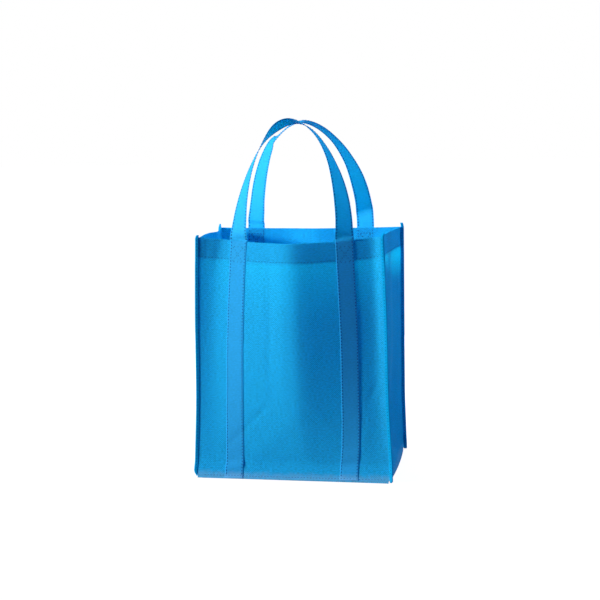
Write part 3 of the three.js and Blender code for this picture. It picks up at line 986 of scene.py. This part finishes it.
class Strap:
    """The middle surface of one strap, from the bottom seam up, over as the loop and down again."""

    def __init__(self, shape, handle):
        sizes = shape.sizes
        panel = handle.panel
        half = sizes.strap_width / 2
        past = STRAP_STITCH + GROOVE_SIDE
        edge = np.array([0, STRAP_STITCH / 3, STRAP_STITCH * 2 / 3, STRAP_STITCH, past, STRAP_EDGE])
        left = np.concatenate([edge - half, -np.array(STRAP_COLUMNS)])
        self.offsets = np.concatenate([left, -left[-2::-1]])
        self.stitch_offset = half - STRAP_STITCH
        rising = self.leg(shape, panel, -1)
        falling = self.leg(shape, panel, 1)[::-1]
        middle = len(self.offsets) // 2
        loop = self.loop(shape, handle, rising[-1, middle], falling[0, middle])
        self.points = np.concatenate([rising, loop, falling])
        self.rim_rows = (len(rising) - 1, len(rising) + len(loop))
        self.normals = grid_normals(self.points)
        self.lengths = lengths_along(self.points[:, middle])

    def leg(self, shape, panel, leg):
        """The part of the strap that lies on the panel, from the bottom seam to the rim."""
        low = -shape.sizes.bottom_seam
        ups = np.linspace(low, shape.height, LEG_ROWS)[:, None] + 0 * self.offsets
        return shape.leg_face(panel, leg, self.offsets, ups)[0]

    def loop(self, shape, handle, start, end):
        """The standing part of the strap, turned over towards its top."""
        sizes = shape.sizes
        side = handle.panel.side
        angle = np.linspace(0, math.pi, LOOP_STEPS)
        spanned = np.sign(np.cos(angle)) * np.abs(np.cos(angle)) ** (2 / ARCH_POWER)
        risen = np.abs(np.sin(angle)) ** (2 / ARCH_POWER)
        rise = math.sqrt(sizes.handle_rise**2 - handle.lean**2)
        tilt = np.array([-side * handle.sway, -side * handle.lean, 0])
        line = mix(start, end, (1 - spanned[:, None]) / 2) + tilt * risen[:, None] ** LEAN_POWER
        line[:, 0] += handle.swing * 4 * risen * (1 - risen)
        line[:, 2] += rise * risen
        length = lengths_along(line)
        along = np.linspace(0, 1, LOOP_ROWS)[1:-1]
        centre = read_along(along * length[-1], length, line)
        tangents = np.gradient(line, length, axis=0)
        first, last = handle.bends
        bent = first.at(along * length[-1]) + last.at((1 - along) * length[-1])
        centre = centre + np.array([0, side, 0]) * bent[:, None]
        after = np.clip((KINK_AT - along) / (KINK_AT - 0.5), 0, 1)
        centre[:, 2] -= handle.kink * np.sin(math.pi * after**KINK_POWER)
        tangent = unit(read_along(along * length[-1], length, tangents))
        inner = unit(np.cross(np.array([0, -side, 0]), tangent))
        outwards = np.cross(inner, tangent)
        past = handle.overturn * bump_at(along, OVERTURN_AT, OVERTURN_SPAN)
        angle = math.pi / 2 * handle.twisted(along) + past
        width = inner * np.cos(angle)[:, None] + handle.turn * outwards * np.sin(angle)[:, None]
        return centre[:, None, :] + width[:, None, :] * self.offsets[None, :, None]

    def place(self, length, offset):
        """Spots and normals of the strap's middle surface at lengths along it and offsets across it."""
        def read(grid):
            row = np.interp(length, self.lengths, np.arange(len(self.lengths)))
            column = np.interp(offset, self.offsets, np.arange(len(self.offsets)))
            low_row = np.minimum(row.astype(int), len(self.lengths) - 2)
            low_column = np.minimum(column.astype(int), len(self.offsets) - 2)
            r = (row - low_row)[:, None]
            c = (column - low_column)[:, None]
            lower = mix(grid[low_row, low_column], grid[low_row, low_column + 1], c)
            upper = mix(grid[low_row + 1, low_column], grid[low_row + 1, low_column + 1], c)
            return mix(lower, upper, r)
        length, offset = np.broadcast_arrays(np.asarray(length, float), np.asarray(offset, float))
        return read(self.points), unit(read(self.normals))


class BAG_OT_handles(bpy.types.Operator):
    """Two long straps, sewn up the panels and standing over them as the handle loops"""

    bl_idname = "bag.handles"
    bl_label = "Handle straps"

    def execute(self, context):
        shape = BagShape(context.scene.bag_sizes)
        sizes = shape.sizes
        for name, handle in (("front_handle", FRONT_LOOP), ("back_handle", BACK_LOOP)):
            strap = Strap(shape, handle)
            flat = np.stack(np.broadcast_arrays(strap.offsets[None, :], strap.lengths[:, None]), axis=-1)
            piece = lay_sheet(name + "_strap", strap.points, flat)
            groove = bump_at(np.abs(strap.offsets), strap.stitch_offset, GROOVE_WIDTH)
            half = sizes.strap_width / 2
            edge = smoothstep(np.abs(strap.offsets), half - EDGE_ROLL, half)
            pressed = 1 - STITCH_GROOVE * groove - EDGE_THIN * edge
            thicken(piece, sizes.strap_thickness, np.tile(pressed, len(strap.lengths)))
            dress(piece, name, strap_cloth(context))
        return {"FINISHED"}


class BAG_OT_bindings(bpy.types.Operator):
    """Tape folded round the four upright corner seams"""

    bl_idname = "bag.bindings"
    bl_label = "Binding tape"

    def execute(self, context):
        shape = BagShape(context.scene.bag_sizes)
        sizes = shape.sizes
        corners = (
            ("front_left_binding", FRONT, -1), ("front_right_binding", FRONT, 1),
            ("back_left_binding", BACK, -1), ("back_right_binding", BACK, 1),
        )
        for name, panel, side in corners:
            foot, square = TAPE_FEET[name]
            share, bend, narrow = TAPE_ENDS[name]
            proud_end = share * sizes.tape_proud
            ups = np.linspace(foot, shape.height + proud_end, TAPE_ROWS)
            layers = shape.seam_layers(ups)[:, None]
            half = shape.pitch + layers / 2
            seam = shape.panel_reach(side, np.maximum(ups, square)) - shape.half_width
            outer = np.maximum(seam, TAPE_INNER)[:, None] + shape.pitch
            turn = np.linspace(0, math.pi, TAPE_TURN)[None, :]
            leg = np.linspace(0, 1, TAPE_LEG + 1)[None, :-1]
            straight = TAPE_INNER + leg * (outer - half - TAPE_INNER)
            reach = np.concatenate([straight, outer - half + half * np.sin(turn), straight[:, ::-1]], axis=1)
            beside = half + 0 * straight
            depth = np.concatenate([beside, half * np.cos(turn), -beside], axis=1) - layers / 2
            up = ups[:, None] + 0 * reach
            proud = np.maximum(0, up - shape.height) / proud_end
            reach = TAPE_INNER + (reach - TAPE_INNER) * (1 - narrow * proud**TAPE_NARROWING)
            x = panel.set_right + side * (shape.corner_x(panel, up) + reach + bend * proud**2)
            y = panel.side * (shape.seam_depth(up) + depth + fin_lean(reach))
            points = np.stack([x, y, up + shape.seam_height], axis=-1)
            width = lengths_along(points[len(ups) // 2])
            flat = np.stack([width[None, :] + 0 * up, up], axis=-1)
            if side * panel.side > 0:
                points = points[:, ::-1]
                flat = flat[:, ::-1]
            piece = lay_sheet(name + "_tape", points, flat)
            thicken(piece, sizes.cloth_thickness)
            dress(piece, name, tape_cloth(context))
        return {"FINISHED"}


def first_stitch(sizes):
    """One stitch along X: a short thread whose ends dip into the cloth."""
    bpy.ops.object.select_all(action="DESELECT")
    bpy.ops.mesh.primitive_uv_sphere_add(
        segments=STITCH_SIDES, ring_count=STITCH_SIDES, radius=0.5, rotation=(0, math.pi / 2, 0))
    stitch = bpy.context.object
    bpy.ops.object.transform_apply(location=False, rotation=True, scale=False)
    bpy.ops.object.mode_set(mode="EDIT")
    bpy.ops.mesh.select_all(action="SELECT")
    length = STITCH_SHOWN * sizes.stitch_pitch
    bpy.ops.transform.resize(value=(length, sizes.thread_width, sizes.thread_width))
    bpy.ops.object.mode_set(mode="OBJECT")
    for vertex in stitch.data.vertices:
        dip = 2 * vertex.co.x / sizes.stitch_pitch
        vertex.co.z = STITCH_HEIGHT * vertex.co.z - STITCH_DIP * sizes.thread_width * dip * dip
    bpy.ops.object.shade_smooth()
    return stitch


class Seam:
    """Rows of stitches that make one piece."""

    def __init__(self, name, slot, pitch, weight=1.0):
        self.name = name
        self.slot = slot
        self.pitch = pitch
        self.weight = weight
        self.stitches = []

    def row(self, spots, faces, lift, scale=1.0):
        """Stitches along a line of spots, lifted off the middle of the cloth, their thread scaled."""
        line = spots + faces * lift
        length = lengths_along(line)
        count = max(1, int(length[-1] / self.pitch))
        at = (np.arange(count) + 0.5) * length[-1] / count
        tangents = np.gradient(line, length, axis=0)
        for place in at:
            spot, run, face = (read_along(place, length, values) for values in (line, tangents, faces))
            run = unit(run)
            aside = unit(np.cross(face, run))
            turned = np.eye(4)
            turned[:3, 0] = run
            turned[:3, 1] = aside * self.weight * scale
            turned[:3, 2] = np.cross(run, aside) * self.weight * scale
            turned[:3, 3] = spot
            self.stitches.append(Matrix(turned))

    def sew(self, stitch, material):
        """Copies the first stitch to every place and joins the copies."""
        bpy.ops.object.select_all(action="DESELECT")
        for place in self.stitches:
            copy = stitch.copy()
            copy.data = stitch.data.copy()
            copy.data.transform(place)
            bpy.context.collection.objects.link(copy)
            copy.select_set(True)
            bpy.context.view_layer.objects.active = copy
        bpy.ops.object.join()
        piece = bpy.context.object
        piece.name = self.name
        piece.data.name = self.name
        dress(piece, None, material)


class BAG_OT_stitches(bpy.types.Operator):
    """Stitches of the hems, straps, bottom seams and tapes"""

    bl_idname = "bag.stitches"
    bl_label = "Stitches"

    def execute(self, context):
        shape = BagShape(context.scene.bag_sizes)
        sizes = shape.sizes
        colours = context.scene.bag_colours
        material = thread_finish(colours.thread)
        stitch = first_stitch(sizes)
        seams = []
        for end, panel, loop in (("front", FRONT, FRONT_LOOP), ("back", BACK, BACK_LOOP)):
            seams.append(self.panel_seam(end + "_panel_stitches", shape, panel))
            seams.append(self.strap_seam(end + "_strap_stitches", shape, loop))
            for way, side in (("left", -1), ("right", 1)):
                seams.append(self.tape_seam(f"{end}_{way}_tape_stitches", shape, panel, side))
        for way, side in (("left", -1), ("right", 1)):
            seams.append(self.gusset_seam(way + "_gusset_stitches", shape, side))
        for seam in seams:
            seam.sew(stitch, material)
        bpy.data.objects.remove(stitch)
        return {"FINISHED"}

    def panel_seam(self, name, shape, panel):
        """Hem stitches on both faces of a panel, and the bottom seam."""
        sizes = shape.sizes
        seam = Seam(name, "body_cloth", sizes.stitch_pitch, FINE_THREAD)
        half_strap = sizes.strap_width / 2 + STRAP_CLEAR
        reach = shape.half_width - HEM_END
        hem = shape.hem_line + HEM_STITCH
        face = sizes.cloth_thickness / 2
        left, right = (float(shape.leg_centre(panel, leg, hem)) for leg in (-1, 1))
        lows = (-reach, left + half_strap, right + half_strap)
        highs = (left - half_strap, right - half_strap, reach)
        for low, high in zip(lows, highs):
            across = np.linspace(low, high, HEM_SPOTS)
            spots, faces = shape.panel_face(panel, across, np.full_like(across, hem))
            seam.row(spots, faces, face)
            seam.row(spots, -faces, face + shape.pitch)
        across = np.linspace(-reach + FOOT_ENDS[0], reach - FOOT_ENDS[1], FOOT_SPOTS)
        foot = np.full_like(across, FOOT_STITCH)
        spots, faces = shape.panel_face(panel, across, foot)
        on_strap = np.zeros_like(across)
        for leg in (-1, 1):
            aside = np.abs(across - shape.leg_centre(panel, leg, foot))
            beside = smoothstep(aside, half_strap - STRAP_CLEAR, half_strap + STRAP_CLEAR)
            on_strap = np.maximum(on_strap, 1 - beside)
        lift = face + on_strap * (shape.strap_lift + sizes.strap_thickness / 2 - face)
        seam.row(spots + faces * lift[:, None], faces, 0)
        return seam

    def strap_seam(self, name, shape, loop):
        """Two edge rows from end to end of a strap, and a crossed box on each leg at the hem."""
        sizes = shape.sizes
        seam = Seam(name, "strap_cloth", sizes.stitch_pitch, STRAP_THREAD)
        strap = Strap(shape, loop)
        face = STITCH_SINK * sizes.strap_thickness / 2
        for offset in (-strap.stitch_offset, strap.stitch_offset):
            first, last = (strap.lengths[row] for row in strap.rim_rows)
            for start, end in ((STRAP_END, first), (last, strap.lengths[-1] - STRAP_END)):
                spots, faces = strap.place(np.linspace(start, end, STRAP_SPOTS), offset)
                seam.row(spots, faces, face)
            spots, faces = strap.place(np.linspace(first + RIM_END, last - RIM_END, LOOP_SPOTS), offset)
            seam.row(spots, faces, face, LOOP_THREAD)
            seam.row(spots, -faces, face, LOOP_THREAD)
            ups = np.linspace(LEG_END, shape.height - RIM_END, INSIDE_SPOTS)
            doubled = smoothstep(ups, shape.hem_line - HEM_STEP, shape.hem_line)
            lift = (sizes.cloth_thickness / 2 + shape.pitch * doubled)[:, None]
            for leg in (-1, 1):
                across = shape.leg_centre(loop.panel, leg, ups) + offset
                spots, faces = shape.panel_face(loop.panel, across, ups)
                seam.row(spots - faces * lift, -faces, 0)
        low = shape.hem_line - BOX_BELOW
        high = shape.height - BOX_TOP
        aside = strap.stitch_offset - BOX_INSET
        box = (((-1, low), (1, low)), ((-1, high), (1, high)), ((-1, low), (1, high)), ((-1, high), (1, low)))
        for leg in (-1, 1):
            for start, end in box:
                share = np.linspace(0, 1, BOX_SPOTS)
                offsets = aside * mix(start[0], end[0], share)
                ups = mix(start[1], end[1], share)
                spots, faces = shape.leg_face(loop.panel, leg, offsets, ups)
                seam.row(spots, faces, sizes.strap_thickness / 2, BOX_THREAD)
                seam.row(spots, -faces, shape.strap_lift + shape.pitch + sizes.cloth_thickness / 2)
        return seam

    def tape_seam(self, name, shape, panel, side):
        """A row on both faces of a folded tape."""
        sizes = shape.sizes
        seam = Seam(name, "binding_cloth", sizes.stitch_pitch, FINE_THREAD)
        ups = np.linspace(TAPE_END, shape.height - RIM_END, TAPE_SPOTS)
        reach = TAPE_INNER + TAPE_STITCH
        x = panel.set_right + side * (shape.corner_x(panel, ups) + reach)
        for away, depth in ((1, shape.pitch), (-1, -shape.pitch - shape.seam_layers(ups))):
            y = panel.side * (shape.seam_depth(ups) + depth + fin_lean(reach))
            spots = np.stack([x, y, ups + shape.seam_height], axis=-1)
            faces = np.zeros_like(spots)
            faces[:, 1] = away * panel.side
            seam.row(spots, faces, sizes.cloth_thickness / 2)
        return seam

    def gusset_seam(self, name, shape, side):
        """Hem stitches on both faces of a gusset."""
        sizes = shape.sizes
        seam = Seam(name, "body_cloth", sizes.stitch_pitch, FINE_THREAD)
        shares = np.linspace(-GUSSET_END, GUSSET_END, GUSSET_SPOTS)
        spots, faces = shape.gusset_face(side, shares, np.full_like(shares, shape.hem_line + HEM_STITCH))
        seam.row(spots, faces, sizes.cloth_thickness / 2)
        seam.row(spots, -faces, sizes.cloth_thickness / 2 + shape.pitch)
        return seam


class BAG_OT_stage(bpy.types.Operator):
    """Floor, light and camera"""

    bl_idname = "bag.stage"
    bl_label = "Stage"

    def execute(self, context):
        stage = context.scene.bag_stage
        context.scene.view_settings.view_transform = "Standard"
        self.make_floor(context.scene.bag_colours.floor)
        self.make_world(context.scene, stage.fill_strength)
        side, height = stage.key_azimuth, stage.key_elevation
        level = math.cos(height)
        towards = Vector((-math.sin(side) * level, -math.cos(side) * level, math.sin(height)))
        key = self.make_lamp("key_light", "SUN", towards * KEY_DISTANCE, stage.key_strength, KEY_COLOUR)
        key.data.angle = KEY_ANGLE
        key.rotation_mode = "QUATERNION"
        key.rotation_quaternion = towards.to_track_quat("Z", "Y")
        back = self.make_lamp("back_light", "AREA", BACK_PLACE, stage.back_power)
        back.rotation_euler = BACK_TURN
        back.data.shape = "RECTANGLE"
        back.data.size, back.data.size_y = BACK_SIZE
        back.visible_glossy = False
        back.visible_camera = False
        beside = self.make_lamp("side_light", "AREA", SIDE_PLACE, stage.side_power, SIDE_COLOUR)
        beside.rotation_euler = SIDE_TURN
        beside.data.size = SIDE_SIZE
        beside.visible_camera = False
        self.make_camera(context.scene, stage)
        return {"FINISHED"}

    def make_lamp(self, name, kind, place, energy, colour=(1, 1, 1)):
        """A lamp of a kind at its place."""
        bpy.ops.object.light_add(type=kind, location=place)
        lamp = bpy.context.object
        lamp.name = name
        lamp.data.energy = energy
        lamp.data.color = colour
        return lamp

    def make_floor(self, colour):
        """A plain pale floor that reads white and keeps a light shadow."""
        bpy.ops.object.select_all(action="DESELECT")
        bpy.ops.mesh.primitive_plane_add(size=FLOOR_SIZE, location=(0, 0, -FLOOR_DROP))
        floor = bpy.context.object
        floor.name = "floor"
        finish = Finish("pale_floor")
        matt = finish.add("ShaderNodeBsdfDiffuse", None, {"Color": (*colour, 1)})
        white = finish.add("ShaderNodeEmission", None, {"Strength": FLOOR_GLOW})
        pale = finish.add("ShaderNodeBsdfDiffuse", None, {"Color": FLOOR_SHOWN})
        shown = finish.add("ShaderNodeAddShader", None, {0: pale, 1: white})
        seen = finish.shown_rays()
        both = finish.add("ShaderNodeMixShader", None, {0: seen, 1: matt, 2: shown})
        finish.add("ShaderNodeOutputMaterial", None, {"Surface": both})
        floor.data.materials.append(finish.material)

    def make_world(self, scene, fill):
        """Even fill light, with a white background for the camera."""
        world = bpy.data.worlds.new("studio")
        scene.world = world
        finish = Finish("studio", world)
        soft = finish.add("ShaderNodeBackground", None, {"Color": FILL_COLOUR, "Strength": fill})
        white = finish.add("ShaderNodeBackground", None, {"Color": (1, 1, 1, 1), "Strength": 1.0})
        seen = finish.shown_rays()
        both = finish.add("ShaderNodeMixShader", None, {0: seen, 1: soft, 2: white})
        finish.add("ShaderNodeOutputWorld", None, {"Surface": both})

    def make_camera(self, scene, stage):
        """The camera at the photograph's viewing angle."""
        side, height = stage.camera_azimuth, stage.camera_elevation
        level = math.cos(height)
        back = Vector((math.sin(side) * level, -math.cos(side) * level, math.sin(height)))
        target = Vector((AIM_RIGHT * math.cos(side), AIM_RIGHT * math.sin(side), AIM_HEIGHT))
        bpy.ops.object.camera_add(location=target + back * stage.camera_distance)
        camera = bpy.context.object
        camera.name = "camera"
        camera.data.lens = stage.lens
        camera.data.sensor_width = SENSOR_WIDTH
        camera.rotation_mode = "QUATERNION"
        roll = Quaternion((0, 0, 1), stage.camera_roll)
        camera.rotation_quaternion = (-back).to_track_quat("-Z", "Y") @ roll
        scene.camera = camera


class BAG_PT_sidebar(bpy.types.Panel):
    """The bag's sizes, colours and light, and a button for each group of pieces"""

    bl_idname = "BAG_PT_sidebar"
    bl_label = "Shopping bag"
    bl_space_type = "VIEW_3D"
    bl_region_type = "UI"
    bl_category = "Shopping bag"

    def draw(self, context):
        layout = self.layout
        for group in (context.scene.bag_sizes, context.scene.bag_colours, context.scene.bag_stage):
            box = layout.box()
            for name in group.bl_rna.properties.keys():
                if name not in ("rna_type", "name"):
                    box.prop(group, name)
        for operator in OPERATORS:
            layout.operator(operator.bl_idname)


GROUPS = (("bag_sizes", BagSizes), ("bag_colours", BagColours), ("bag_stage", BagStage))
OPERATORS = (
    BAG_OT_stage, BAG_OT_panels, BAG_OT_gussets, BAG_OT_bottom, BAG_OT_handles, BAG_OT_bindings,
    BAG_OT_stitches,
)


def register():
    for name, group in GROUPS:
        bpy.utils.register_class(group)
        setattr(bpy.types.Scene, name, PointerProperty(type=group))
    for operator in OPERATORS:
        bpy.utils.register_class(operator)
    bpy.utils.register_class(BAG_PT_sidebar)


def unregister():
    bpy.utils.unregister_class(BAG_PT_sidebar)
    for operator in reversed(OPERATORS):
        bpy.utils.unregister_class(operator)
    for name, group in reversed(GROUPS):
        delattr(bpy.types.Scene, name)
        bpy.utils.unregister_class(group)


def main():
    register()
    for operator in OPERATORS:
        category, name = operator.bl_idname.split(".")
        getattr(getattr(bpy.ops, category), name)()


if __name__ == "__main__":
    main()
